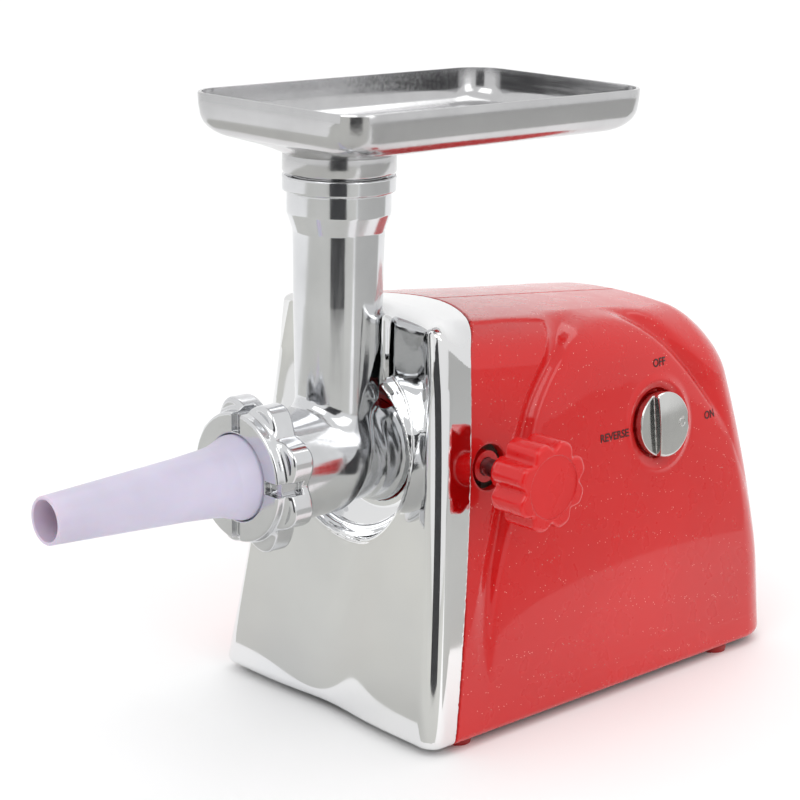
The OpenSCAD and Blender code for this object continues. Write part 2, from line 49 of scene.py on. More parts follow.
# ---------------------------------------------------------------- dimensions, mm
AXIS_Z = 152.0
TUBE_Y = -130.6
TAPER = 0.117
SLOPE = 0.0916
TOP_Z = 237.3
BASE_Z = 4.5
WALL = 3.2
SEAM = 0.5
KNOB_Y = -82.0
KNOB_FACE = 121.6
DIAL = (76.6, 53.7, 154.7)
DIAL_R = 19.3
RIM_Z = 351.2
TRAY_X = 70.4
TRAY_FRONT, TRAY_BACK = -182.6, 43.0
TILT = math.atan(TAPER)
PAN_R, PAN_FLOOR = 49.3, -102.5  # hollow in the cowl round the neck
LIP_R, LIP_Y = 51.2, -112.0  # bead round that hollow
THROAT_R = 31.5
CHANNEL_R = 27.8
KNOB_HOLE_R = 12.6
INLET_R = 7.7
DISH_R = 20.4  # recess that the dial sits in
GROOVE_DEPTH = 4.4
PANEL_DEPTH = 2.4
BARREL_R, BARREL_FRONT = 31.0, -190.0
NECK_R = 27.0
CHAMBER_R = 24.3
BORE_R = 19.6
COLLAR_R, COLLAR_Z = 31.0, 305.4
VALLEY_R, LOBE_HEIGHT = 36.2, 7.0  # outline of the ring nut
NUT_BORE_R = 24.0
SLOT_HALF = 3.6  # half width of the notches in the nut
KNOB_R, KNOB_GROOVE = 25.4, 4.4
SHEET = 1.6  # thickness of the tray
TRAY_CORNER_R, TRAY_BEND_R = 20.0, 14.0
FLOOR_STEPS = (0.2, 0.4, 0.6, 0.8, 0.93)  # rows of the tray's floor, rim side to spout
CAMERA_TURN, CAMERA_DOWN, CAMERA_ROLL = 47.45, 14.67, 1.02  # degrees
CAMERA_PLACE = (0.8894, -0.89956, 0.49156)  # metres
LENS, SENSOR = 98.7, 36


# ---------------------------------------------------------------- distance formulas
def smooth_and(a, b, r):
    """Intersection of two solids whose shared edge is rounded to about r."""
    return np.minimum(-r, np.maximum(a, b)) + np.hypot(np.maximum(a + r, 0), np.maximum(b + r, 0))


def smooth_or(a, b, r):
    """Union of two solids with a fillet of about r between them."""
    return -smooth_and(-a, -b, r)


def ramp(t, t0, t1):
    """Smooth step from 0 at t0 to 1 at t1."""
    s = np.clip((t - t0) / (t1 - t0), 0, 1)
    return s * s * (3 - 2 * s)


def line_distance(u, v, points, closed=False):
    """Distance from (u, v) to a polyline."""
    pts = [np.array(p, float) for p in points]
    if closed:
        pts.append(pts[0])
    best = np.full(np.broadcast(u, v).shape, 1e9)
    for a, b in zip(pts, pts[1:]):
        d = b - a
        t = np.clip(((u - a[0]) * d[0] + (v - a[1]) * d[1]) / (d @ d), 0, 1)
        best = np.minimum(best, np.hypot(u - a[0] - t * d[0], v - a[1] - t * d[1]))
    return best


def inside(u, v, points):
    """True inside a closed polygon."""
    odd = np.zeros(np.broadcast(u, v).shape, bool)
    for (u0, v0), (u1, v1) in zip(points, points[1:] + points[:1]):
        if v0 == v1:
            continue
        crosses = (v0 > v) != (v1 > v)
        odd ^= crosses & (u < (u1 - u0) * (v - v0) / (v1 - v0) + u0)
    return odd


def smooth_line(points, per_span=6):
    """Catmull-Rom curve through a few points."""
    p = [np.array(q, float) for q in points]
    p = [2 * p[0] - p[1]] + p + [2 * p[-1] - p[-2]]
    out = []
    for k in range(1, len(p) - 2):
        for i in range(per_span):
            t = i / per_span
            out.append(0.5 * (2 * p[k] + (p[k + 1] - p[k - 1]) * t
                              + (2 * p[k - 1] - 5 * p[k] + 4 * p[k + 1] - p[k + 2]) * t ** 2
                              + (3 * p[k] - p[k - 1] - 3 * p[k + 1] + p[k + 2]) * t ** 3))
    out.append(p[-2])
    return [tuple(q) for q in out]


# ---------------------------------------------------------------- meshing
def net(field, lo, hi, step):
    """Vertices, normals and quads of the level set field = 0 inside the box lo..hi, in mm."""
    step = step * COARSE
    axes = [a + step * np.arange(int(math.ceil((b - a) / step)) + 1) for a, b in zip(lo, hi)]
    gx, gy, gz = np.meshgrid(*axes, indexing="ij", sparse=True)
    shape = tuple(len(a) for a in axes)
    f = np.broadcast_to(field(gx, gy, gz), shape).astype(np.float32)
    for axis in range(3):  # the mesh is closed at the box
        edge = [slice(None)] * 3
        for end in (0, -1):
            edge[axis] = end
            f[tuple(edge)] = np.maximum(f[tuple(edge)], 0.3 * step)
    neg = f < 0
    corners = [(i, j, k) for i in (0, 1) for j in (0, 1) for k in (0, 1)]
    n = tuple(s - 1 for s in shape)
    count = np.zeros(n, np.int8)
    for i, j, k in corners:
        count += neg[i:i + n[0], j:j + n[1], k:k + n[2]]
    cells = np.argwhere((count > 0) & (count < 8))
    index = np.full(n, -1, np.int32)
    index[tuple(cells.T)] = np.arange(len(cells))
    value = {c: f[tuple((cells + c).T)].astype(float) for c in corners}
    total = np.zeros((len(cells), 3))
    hits = np.zeros(len(cells))
    for c in corners:
        for axis in range(3):
            if c[axis]:
                continue
            d = tuple(1 if m == axis else c[m] for m in range(3))
            a, b = value[c], value[d]
            cross = (a < 0) != (b < 0)
            t = np.where(cross, a / np.where(cross, a - b, 1), 0)
            point = np.array(c, float)[None, :] + t[:, None] * np.array(np.subtract(d, c), float)
            total += np.where(cross[:, None], point, 0)
            hits += cross
    p = np.array(lo) + step * (cells + total / hits[:, None])
    quads = []
    for axis in range(3):
        u, v = [m for m in range(3) if m != axis]
        a = [slice(1, -1)] * 3
        b = [slice(1, -1)] * 3
        a[axis], b[axis] = slice(0, -1), slice(1, None)
        flips = np.argwhere(neg[tuple(a)] != neg[tuple(b)])
        base = flips + 1
        base[:, axis] -= 1
        around = []
        for du, dv in ((1, 1), (0, 1), (0, 0), (1, 0)):
            c = base.copy()
            c[:, u] -= du
            c[:, v] -= dv
            around.append(index[tuple(c.T)])
        q = np.stack(around, 1)
        turn = neg[tuple(base.T)]
        if axis == 1:
            turn = ~turn
        q[~turn] = q[~turn][:, ::-1]
        quads.append(q)
    quads = np.concatenate(quads)

    def grad(q, h):
        c = q.T
        e = np.eye(3) * h
        return np.stack([field(*(c + e[:, [m]])) - field(*(c - e[:, [m]])) for m in range(3)],
                        1) / (2 * h)

    start = p.copy()
    for _ in range(3):
        g = grad(p, 0.05 * step)
        move = field(*p.T)[:, None] * g / np.maximum((g * g).sum(1), 0.2)[:, None]
        p = start + np.clip(p - move - start, -0.6 * step, 0.6 * step)
    g = grad(p, 0.12 * step)
    normals = g / np.maximum(np.linalg.norm(g, axis=1), 1e-9)[:, None]
    return p, normals, quads


def new_object(name, points, faces, material, normals=None):
    """Mesh object from points in mm."""
    mesh = bpy.data.meshes.new(name)
    points = np.asarray(points, float) * MM
    faces = np.asarray(faces, np.int32)
    width = faces.shape[1]
    mesh.vertices.add(len(points))
    mesh.vertices.foreach_set("co", points.astype(np.float32).ravel())
    mesh.loops.add(faces.size)
    mesh.loops.foreach_set("vertex_index", faces.ravel())
    mesh.polygons.add(len(faces))
    mesh.polygons.foreach_set("loop_start", np.arange(0, faces.size, width, dtype=np.int32))
    mesh.polygons.foreach_set("loop_total", np.full(len(faces), width, np.int32))
    mesh.polygons.foreach_set("use_smooth", np.ones(len(faces), bool))
    mesh.update(calc_edges=True)
    mesh.validate()
    if normals is not None:
        mesh.normals_split_custom_set_from_vertices(normals.tolist())
    mesh.materials.append(material)
    obj = bpy.data.objects.new(name, mesh)
    bpy.context.scene.collection.objects.link(obj)
    return obj


def solid(name, field, lo, hi, step, material):
    """Object made from a distance formula."""
    points, normals, quads = net(field, lo, hi, step)
    return new_object(name, points, quads, material, normals)


def loft(name, rings, material, sharp=35):
    """Closed skin over rings of equal length; the last ring joins the first."""
    k, n = len(rings), len(rings[0])
    points = np.concatenate([np.asarray(r, float) for r in rings])
    faces = []
    for i in range(k):
        a, b = i * n, (i + 1) % k * n
        j = np.arange(n)
        faces.append(np.stack([a + j, a + (j + 1) % n, b + (j + 1) % n, b + j], 1))
    obj = new_object(name, points, np.concatenate(faces), material)
    obj.data.set_sharp_from_angle(angle=math.radians(sharp))
    return obj


def rounded(points, radii, segments=5):
    """Profile whose corners are rounded; a radius of 0 keeps the corner."""
    out = []
    n = len(points)
    for i, (p, r) in enumerate(zip(points, radii)):
        p = np.array(p, float)
        a = np.array(points[i - 1], float) - p
        b = np.array(points[(i + 1) % n], float) - p
        la, lb = np.linalg.norm(a), np.linalg.norm(b)
        if r <= 0:
            out.append(tuple(p))
            continue
        a, b = a / la, b / lb
        half = math.acos(max(-1, min(1, float(a @ b)))) / 2
        cut = min(r / math.tan(half), 0.49 * la, 0.49 * lb)
        for s in range(segments + 1):
            t = s / segments
            q = (1 - t) ** 2 * (p + a * cut) + 2 * t * (1 - t) * p + t * t * (p + b * cut)
            out.append(tuple(q))
    return out


def revolve(name, profile, origin, axis, material, sides=128, sharp=35):
    """Solid of revolution of a closed (radius, height) profile about axis through origin."""
    axis = np.array(axis, float)
    side = np.array([1.0, 0, 0]) if abs(axis[0]) < 0.5 else np.array([0, 1.0, 0])
    up = np.cross(axis, side)
    a = 2 * math.pi * np.arange(sides) / sides
    spokes = np.outer(np.cos(a), side) + np.outer(np.sin(a), up)
    rings = [np.array(origin) + r * spokes + h * axis for r, h in profile]
    return loft(name, rings, material, sharp)


# ---------------------------------------------------------------- housing formulas
def side_width(y, z):
    """Half width of the housing, which narrows upwards and towards the rear."""
    return 70.6 + TAPER * (196.6 - z - SLOPE * (y + 161))


def housing(x, y, z):
    """Outer surface of the whole housing, cowl and shells together."""
    side = (np.abs(x) - side_width(y, z)) * math.cos(TILT)
    lean = -120.4 - 20.6 * (np.maximum(200 - z, 0) / 195) ** 1.3
    low = (3.5 + 0.05 * np.minimum(z, 150)) * np.exp(-(x / 30) ** 2)
    high = 9 * (1 - np.minimum(np.abs(x) / 64, 1) ** 5)
    blend = ramp(z, 120, 215)
    front = lean + low * (1 - blend) + high * blend - y
    over = np.maximum(z - 50, 0)
    rear = (y - 160.3 + 0.0103 * over ** 1.6) / np.sqrt(1 + (0.01648 * over ** 0.6) ** 2)
    crown = x * x / 660 * ramp(y, -135, -85)
    top = z - (TOP_Z - SLOPE * (y + 121) - crown)
    f = smooth_and(side, front, 11)
    f = smooth_and(f, rear, 28)
    edge = 6 + 15 * ramp(y, -124, -88) + 16 * ramp(y, 60, 130)
    f = smooth_and(f, top, edge)
    return smooth_and(f, BASE_Z - z, 5)


def boundary(x, z):
    """Place along Y where the cowl meets the coloured shells."""
    side = -93 - 0.00634 * np.maximum(225 - z, 0) ** 1.56
    return side + (34.1 - 0.0224 * np.abs(x) ** 1.73) * ramp(z, 203, 226)


def bowl(x, y, z):
    """Hollow in the cowl for the neck, with the throat that the neck plugs into."""
    rho = np.hypot(x, z - AXIS_Z)
    pan = smooth_and(rho - PAN_R, y - PAN_FLOOR, 17)
    throat = smooth_and(rho - THROAT_R, y + 90, 1)
    return np.minimum(pan, throat)


def notch(x, y, z):
    """Upright channel in the cowl for the feed tube."""
    return np.maximum(np.hypot(x, y - TUBE_Y) - CHANNEL_R, AXIS_Z - z)


def lip(x, y, z):
    """Thin raised bead round the mouth of the hollow, open at the top for the feed tube."""
    rho = np.hypot(x, z - AXIS_Z)
    bead = np.hypot(rho - LIP_R, (y - LIP_Y) / 7) - 1.5
    return np.where(np.abs(x) < 24, np.maximum(bead, z - AXIS_Z), bead)


def cowl(x, y, z):
    """Chrome cowl: front of the housing as a shell, with the hollow and the channel in it."""
    outer = housing(x, y, z)
    channel = notch(x, y, z)
    hollow = smooth_or(bowl(x, y, z), channel, 2.5)
    body = smooth_or(smooth_and(outer, -channel, 6), lip(x, y, z), 1.0)
    inner = np.maximum(outer + WALL, -(hollow - WALL))
    around_well = np.maximum(np.hypot(x, z - AXIS_Z) - 54, y + 98.5)
    rear = np.minimum(y - boundary(x, z) + SEAM / 2, around_well)
    f = smooth_and(body, rear, 1.0)
    f = smooth_and(f, -hollow, 0.8)
    return np.maximum(f, -inner)


CHEEK = smooth_line([(-96, 20), (-93, 60), (-87, 90), (-79, 112), (-67, 140), (-55, 164),
                     (-48, 180), (-36, 196), (-21, 211), (-5, 220), (15, 224), (37, 221),
                     (55, 211), (74, 195), (94, 175), (115, 147), (131, 118), (146, 85),
                     (156, 50), (160, 20)], 3)
PANEL = [(-125, 60), (-125, 232), (-84, 228.6), (-50, 226), (-20, 222.5), (-37, 202),
         (-56, 176), (-68, 156), (-80, 131), (-92, 100), (-100, 60)]


def relief(y, z):
    """How far the side surface stands out, in mm, around the cheek and the front panel."""
    off = line_distance(y, z, CHEEK)
    within = inside(y, z, CHEEK)
    dome = 3.4 * (1 - np.exp(-off / 32)) + 0.5 * (1 - np.exp(-off / 4))
    bulge = np.where(within, dome * ramp(z, 15, 110), 0)
    fading = 1 - ramp(y, 0, 60) + ramp(y, -10, 60) * (1 - ramp(y, 96, 128))
    ahead = GROOVE_DEPTH * ramp(z, 20, 130)
    behind = GROOVE_DEPTH * ramp(z, 120, 190) * fading
    depth = np.where(y < 0, ahead, np.clip(behind, 0, GROOVE_DEPTH))
    width = np.where(within, 3.0, 8 - 2 * ramp(y, -20, 20))
    trench = depth * np.exp(-(off / width) ** 2)
    edge = line_distance(y, z, PANEL, closed=True)
    signed = np.where(inside(y, z, PANEL), edge, -edge)
    panel = PANEL_DEPTH * ramp(signed, -1.2, 1.2) * ramp(z, 60, 130)
    return bulge - np.maximum(trench, panel)


def shells(x, y, z):
    """Outer surface of the coloured shells with the side relief and the dial's dish."""
    f = housing(x, y, z)
    out = relief(y, z) * ramp(np.abs(x), 40, 56)
    f = f - out
    tilt_x, tilt_z = math.cos(TILT), math.sin(TILT)
    dx, dy, dz = x - DIAL[0], y - DIAL[1], z - DIAL[2]
    along = dx * tilt_x + dz * tilt_z
    across = np.hypot(dy, dz * tilt_x - dx * tilt_z)
    pad = smooth_and(across - 26, along, 5)
    pad = np.maximum(pad, -8 - along)
    f = np.where(x > 0, smooth_or(f, pad, 6), f)
    dish = np.where(along > -12, across - DISH_R - np.maximum(along + 2.2, 0) * 2.0, 99)
    dish = np.maximum(dish, -along - 4)
    f = np.where(x > 0, smooth_and(f, -dish, 1.2), f)
    hole = np.hypot(y - KNOB_Y, z - AXIS_Z) - KNOB_HOLE_R
    return np.where(x > 30, smooth_and(f, -hole, 0.8), f)


def shell_half(sign):
    """One half shell: sign is +1 for the right half and -1 for the left."""
    def field(x, y, z):
        f = shells(x, y, z)
        front = boundary(x, z) + SEAM / 2 - y
        f = smooth_and(f, front, 0.8)
        f = smooth_and(f, SEAM / 2 - sign * x, 0.5)
        inner = housing(x, y, z) + 2.5 * WALL
        inlet = np.where(y > 140, np.hypot(x, z - 32) - INLET_R, 99)
        return np.maximum(np.maximum(f, -inner), -inlet)
    return field


# ---------------------------------------------------------------- grinding head formulas
TUBE_PROFILE = [(152, 23.2), (180, 23.2), (240, 24.6), (279, 25.1), (289, 28.5), (300, 28.5)]


def head(x, y, z):
    """Casting: barrel with an oblique back, neck with its flange, feed tube and collar."""
    rho = np.hypot(x, z - AXIS_Z)
    oblique = (y + 131) * math.cos(math.radians(15)) - (z - AXIS_Z) * math.sin(math.radians(15))
    thread = 0.35 * (1 + np.cos(2 * math.pi * y / 3)) * ramp(y, -176, -180)
    barrel = smooth_and(rho - BARREL_R + thread, oblique, 3.2)
    barrel = smooth_and(barrel, BARREL_FRONT - y, 0.8)
    neck = np.maximum(rho - NECK_R, y + 74)
    flange = smooth_and(rho - NECK_R - 3.9 * ramp(y, -117, -104), y + 100.4, 0.8)
    flange = np.maximum(flange, -118 - y)
    key = np.maximum(np.abs(x - 1) - 14, AXIS_Z + 24 - z)
    flange = smooth_and(flange, -key, 1.0)
    angle = np.degrees(np.arctan2(y - TUBE_Y, np.abs(x)))
    spread = np.interp(z, [150, 185, 232, 240], [30, 30, 2, 2])
    middle = np.interp(z, [150, 175, 232, 240], [16, 18, 43, 43])
    across_scoop = np.clip((angle - middle) / spread, -1, 1)
    scoop = 2.0 * spread / 30 * (1 - across_scoop ** 2) * ramp(z, 158, 172)
    radius = np.interp(z, [p[0] for p in TUBE_PROFILE], [p[1] for p in TUBE_PROFILE])
    across = np.hypot(x, y - TUBE_Y)
    tube = smooth_and(across - radius + scoop, z - 301, 0.8)
    tube = np.maximum(tube, AXIS_Z - z)
    collar = smooth_and(across - COLLAR_R, np.abs(z - COLLAR_Z) - 4.4, 1.0)
    fin_y = np.interp(z, [170, 204, 236, 252], [-105.6, -105.8, -112, -128])
    fin = smooth_and(np.abs(x) - 7, y - fin_y, 0.8)
    fin = np.maximum(np.maximum(fin, -131 - y), np.abs(z - 205) - 47)
    f = smooth_or(barrel, neck, 4)
    f = np.minimum(f, flange)
    f = smooth_or(f, tube, 6)
    f = smooth_or(f, fin, 1.5)
    f = smooth_or(f, collar, 0.6)
    chamber = smooth_and(rho - CHAMBER_R, y + 106, 2)
    bore = np.maximum(across - BORE_R, AXIS_Z - z)
    mouth = np.maximum(across - 25.8, 296 - z)
    seat = np.maximum(rho - 27, y + 181)
    journal = np.maximum(rho - 9.4, y + 60)
    void = np.minimum(np.minimum(np.minimum(chamber, bore), np.minimum(mouth, seat)), journal)
    return smooth_and(f, -void, 0.7)


def nut(x, y, z):
    """Ring nut: eight lobes, a front ring, and four notches that lie between lobes."""
    dx, dz = x, z - AXIS_Z
    rho = np.hypot(dx, dz)
    angle = np.arctan2(dz, dx)
    wave = (0.5 - 0.5 * np.cos(8 * angle)) ** 0.7
    lobe = VALLEY_R + LOBE_HEIGHT * wave
    f = smooth_and((rho - lobe) * 0.86, np.abs(y + 187.5) - 7.4, 2.6)
    ring = smooth_and(rho - 35.6, np.abs(y + 198) - 4, 1.6)
    f = smooth_or(f, ring, 3.0)
    bore = smooth_or(rho - NUT_BORE_R, np.maximum(rho - 31.7, -193.2 - y), 0.5)
    u = np.where(np.abs(dx) > np.abs(dz), dz, dx)
    slot = np.maximum(np.maximum(np.abs(u) - SLOT_HALF, 25 - rho), y + 197.5)
    groove = np.maximum(np.maximum(np.abs(u) - SLOT_HALF, 33.8 - rho), y + 186)
    f = smooth_and(f, -bore, 1.0)
    return smooth_and(f, -np.minimum(slot, groove), 0.5)


def knob(x, y, z):
    """Lock knob with eight grooves, a round inset and a stem bored for the screw."""
    dy, dz = y - KNOB_Y, z - AXIS_Z
    rho = np.hypot(dy, dz)
    angle = np.arctan2(dz, dy) + math.pi / 8
    groove = ((1 - np.cos(8 * angle)) / 2) ** 2.2
    edge = KNOB_R - KNOB_GROOVE * groove
    f = smooth_and((rho - edge) * 0.93, np.abs(x - 109.3) - 12.3, 2.6)
    inset = smooth_and(rho - 17.6, KNOB_FACE - 0.9 - x, 0.3)
    f = smooth_and(f, -inset, 0.35)
    stem = np.maximum(rho - 9, np.abs(x - 90) - 8)
    f = smooth_or(f, stem, 2.5)
    screw = np.maximum(rho - 5.3, x - 94.6)
    return np.maximum(f, -screw)


def dial(x, y, z):
    """Switch dial: domed disc with one third stepped down and a small round mark."""
    c, s = math.cos(TILT), math.sin(TILT)
    dx, dy, dz = x - DIAL[0], y - DIAL[1], z - DIAL[2]
    h = dx * c + dz * s
    v = dz * c - dx * s
    rho = np.hypot(dy, v)
    dome = 8.0 - 0.0028 * rho ** 2
    f = smooth_and(rho - DIAL_R, h - dome, 1.8)
    f = np.maximum(f, -3.1 - h)
    step = smooth_and(dy + 7.2, 3.2 - h, 0.3)
    f = smooth_and(f, -step, 0.9)
    mark = np.abs(np.hypot(dy - 11.5, v) - 2.4) - 0.45
    return smooth_and(f, -np.maximum(mark, 7.2 - h), 0.3)


# ---------------------------------------------------------------- materials
def srgb(r, g, b):
    """Linear colour from 0 to 255 screen values."""
    def lin(c):
        c /= 255
        return c / 12.92 if c <= 0.04045 else ((c + 0.055) / 1.055) ** 2.4
    return (lin(r), lin(g), lin(b), 1)


class Nodes:
    """Small helper around one material's node tree."""

    def __init__(self, name, color, **sockets):
        self.mat = bpy.data.materials.new(name)
        self.mat.use_nodes = True
        self.tree = self.mat.node_tree
        self.shader = self.tree.nodes["Principled BSDF"]
        self.mat.diffuse_color = color
        self.shader.inputs["Base Color"].default_value = color
        for key, val in sockets.items():
            self.shader.inputs[key.replace("_", " ")].default_value = val
        self.coord = self.tree.nodes.new("ShaderNodeTexCoord")

    def node(self, kind, inputs=None, **props):
        """Adds a node; an input is either a value or a socket to link from."""
        node = self.tree.nodes.new(kind)
        for key, val in props.items():
            setattr(node, key, val)
        for key, val in (inputs or {}).items():
            if isinstance(val, bpy.types.NodeSocket):
                self.tree.links.new(val, node.inputs[key])
            else:
                node.inputs[key].default_value = val
        return node

    def place(self, scale):
        """Object coordinates stretched by scale."""
        return self.node("ShaderNodeMapping", {"Vector": self.coord.outputs["Object"],
                                               "Scale": scale}).outputs[0]

    def noise(self, scale, detail=3.0, rough=0.5, stretch=(1, 1, 1)):
        """Noise value in object coordinates."""
        return self.node("ShaderNodeTexNoise", {"Vector": self.place(stretch), "Scale": scale,
                                                "Detail": detail, "Roughness": rough}).outputs[0]

    def remap(self, value, a0, a1, b0, b1):
        """Maps a0..a1 to b0..b1."""
        return self.node("ShaderNodeMapRange", {"Value": value, "From Min": a0, "From Max": a1,
                                                "To Min": b0, "To Max": b1}).outputs[0]

    def blend(self, factor, a, b):
        """Colour between a and b."""
        node = self.node("ShaderNodeMix", data_type="RGBA")
        for key, val in ((0, factor), (6, a), (7, b)):
            if isinstance(val, bpy.types.NodeSocket):
                self.tree.links.new(val, node.inputs[key])
            else:
                node.inputs[key].default_value = val
        return node.outputs[2]

    def bump(self, height, strength, distance):
        """Drives the normal from a height."""
        self.link(self.node("ShaderNodeBump", {"Height": height, "Strength": strength,
                                               "Distance": distance}).outputs[0], "Normal")

    def link(self, value, socket):
        """Feeds one of the shader's inputs."""
        self.tree.links.new(value, self.shader.inputs[socket])


def chrome():
    """Mirror chrome with faint smudges."""
    n = Nodes("chrome_mirror", srgb(232, 233, 234), Metallic=1.0)
    smudge = n.noise(38, 5, 0.6)
    n.link(n.remap(smudge, 0.35, 0.75, 0.025, 0.085), "Roughness")
    n.link(n.blend(n.remap(n.noise(9, 2), 0.3, 0.7, 0, 1), srgb(228, 229, 231),
                   srgb(238, 238, 237)), "Base Color")
    n.bump(n.noise(14, 1), 0.05, 0.002)
    return n.mat


def metal(name, color, rough, stretch, scratch=0.02):
    """Polished metal; its scratches run along the axis that has the smallest stretch."""
    n = Nodes(name, color, Metallic=1.0)
    fine = n.noise(420, 2, 0.6, stretch)
    cloud = n.noise(26, 4, 0.6)
    both = n.node("ShaderNodeMath", {0: fine, 1: cloud}, operation="ADD").outputs[0]
    n.link(n.remap(both, 0.75, 1.3, rough * 0.7, rough * 1.35), "Roughness")
    dull = tuple(c * 0.86 for c in color[:3]) + (1,)
    n.link(n.blend(n.remap(cloud, 0.3, 0.75, 0, 1), color, dull), "Base Color")
    n.bump(fine, scratch, 0.001)
    return n.mat


def red_gloss(name, color, glitter):
    """Coloured gloss plastic under a clear coat, with sparse metallic flakes."""
    n = Nodes(name, color, Roughness=0.28, Coat_Weight=0.7, Coat_Roughness=0.04,
              Specular_IOR_Level=0.25)
    deep = tuple(c * 0.86 for c in color[:3]) + (1,)
    tone = n.blend(n.remap(n.noise(7, 2), 0.3, 0.7, 0, 1), color, deep)
    if glitter:
        cell = n.node("ShaderNodeTexVoronoi", {"Vector": n.place((1, 1, 1)), "Scale": 760.0})
        pick = n.node("ShaderNodeSeparateColor", {0: cell.outputs["Color"]}).outputs[0]
        chosen = n.node("ShaderNodeMath", {0: pick, 1: 0.92}, operation="GREATER_THAN")
        dot = n.node("ShaderNodeMath", {0: cell.outputs["Distance"], 1: 0.2},
                     operation="LESS_THAN")
        flake = n.node("ShaderNodeMath", {0: chosen.outputs[0], 1: dot.outputs[0]},
                       operation="MULTIPLY").outputs[0]
        tone = n.blend(flake, tone, srgb(250, 190, 178))
        n.link(n.remap(flake, 0, 1, 0.0, 0.6), "Metallic")
    n.link(tone, "Base Color")
    n.link(n.remap(n.noise(60, 3), 0.3, 0.7, 0.24, 0.34), "Roughness")
    n.bump(n.noise(22, 1), 0.01, 0.0006)
    return n.mat


def plastic(name, color, rough, grain=900, depth=0.05, **sockets):
    """Moulded plastic or rubber with a fine grain."""
    n = Nodes(name, color, **sockets)
    dark = tuple(c * 0.85 for c in color[:3]) + (1,)
    n.link(n.blend(n.remap(n.noise(18, 3), 0.3, 0.7, 0, 1), color, dark), "Base Color")
    n.link(n.remap(n.noise(130, 3), 0.3, 0.7, rough * 0.85, rough * 1.15), "Roughness")
    n.bump(n.noise(grain, 2), depth, 0.0006)
    return n.mat


CHROME = chrome()
RED = red_gloss("housing_gloss_red", srgb(205, 14, 14), True)
KNOB_RED = red_gloss("knob_gloss_red", srgb(212, 14, 16), False)
HEAD = metal("head_polished_aluminium", srgb(222, 223, 225), 0.13, (1, 1, 0.06))
NUT = metal("nut_polished_aluminium", srgb(224, 225, 227), 0.15, (1, 0.06, 1))
TRAY = metal("tray_polished_aluminium", srgb(206, 206, 207), 0.17, (0.06, 1, 1))
DIAL_METAL = metal("dial_satin_silver", srgb(214, 214, 212), 0.14, (1, 1, 0.05))
STEEL = metal("machined_steel", srgb(158, 160, 164), 0.28, (1, 0.06, 1), 0.05)
BLADE = metal("blade_ground_steel", srgb(176, 178, 182), 0.2, (0.06, 1, 1), 0.05)
LAMINATION = metal("stacked_lamination_steel", srgb(112, 114, 120), 0.42, (0.05, 1, 0.05), 0.3)
ALUMINIUM = metal("cast_aluminium", srgb(182, 184, 188), 0.34, (1, 1, 1), 0.12)
COPPER = metal("enamelled_copper", srgb(184, 96, 48), 0.3, (1, 0.1, 1), 0.25)
LILAC = plastic("tube_lilac_plastic", srgb(208, 202, 222), 0.34, 700, 0.02,
                Subsurface_Weight=0.35, Subsurface_Scale=0.006, Specular_IOR_Level=0.45)
BLACK = plastic("base_black_plastic", srgb(30, 30, 32), 0.5, 800, 0.12)
FOOT_RED = plastic("foot_red_rubber", srgb(150, 22, 22), 0.5, 600, 0.1)
NYLON = plastic("gearbox_nylon", srgb(212, 208, 190), 0.45, 700, 0.06)
GEAR = plastic("gear_acetal", srgb(230, 226, 212), 0.36, 700, 0.04)
INK = plastic("dial_mark_ink", srgb(52, 14, 14), 0.5, 900, 0.02)


# ---------------------------------------------------------------- pieces
def add(obj, body, slot, *nodes):
    """Rides obj on its body and lets it stand for CAD nodes by hiding them; the slot argument is
    not used.
    """
    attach(obj, body)
    if nodes:
        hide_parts(*nodes)
    return obj


def build_housing():
    """Chrome cowl and the two red half shells."""
    add(solid("cowl_shell", cowl, (-97, -146, 3), (97, -55, 240), 1.1, CHROME),
        "housing", "cowl_chrome", "front_cowl")
    for sign, name, node in ((1, "shell_right", "housing_right"),
                             (-1, "shell_left", "housing_left")):
        x0, x1 = (-1, 98) if sign > 0 else (-98, 1)
        add(solid(name, shell_half(sign), (x0, -125, 3), (x1, 163, 238), 1.25, RED),
            "housing", "housing_red", node)


def build_head():
    """Head casting and the ring nut that closes it."""
    add(solid("head_body", head, (-34, -193, 118), (34, -71, 312), 0.9, HEAD),
        "head", "head_aluminium", "head_casting")
    add(solid("nut_body", nut, (-45, -204, 107), (45, -178, 197), 0.75, NUT),
        "nut", "head_aluminium", "ring_nut")


def build_tube():
    """Sausage tube: long cone with a flared foot and a rim that the nut holds."""
    outer = [(10.9, -322.8), (12.7, -322.8), (17.1, -240), (18.8, -220), (20, -213),
             (23.4, -203), (23.6, -193), (29.5, -193), (29.5, -190.2), (21.6, -190.2),
             (21.4, -203), (17.4, -214), (16.4, -221), (15, -240), (10.9, -312)]
    radii = [0.7, 0.8, 0, 6, 6, 5, 0.6, 0.5, 0.3, 0.3, 3, 4, 4, 0, 0]
    add(revolve("stuffing_tube", rounded(outer, radii, 6), (0, 0, AXIS_Z), (0, 1, 0), LILAC),
        "tube", "tube_plastic", "sausage_tube")


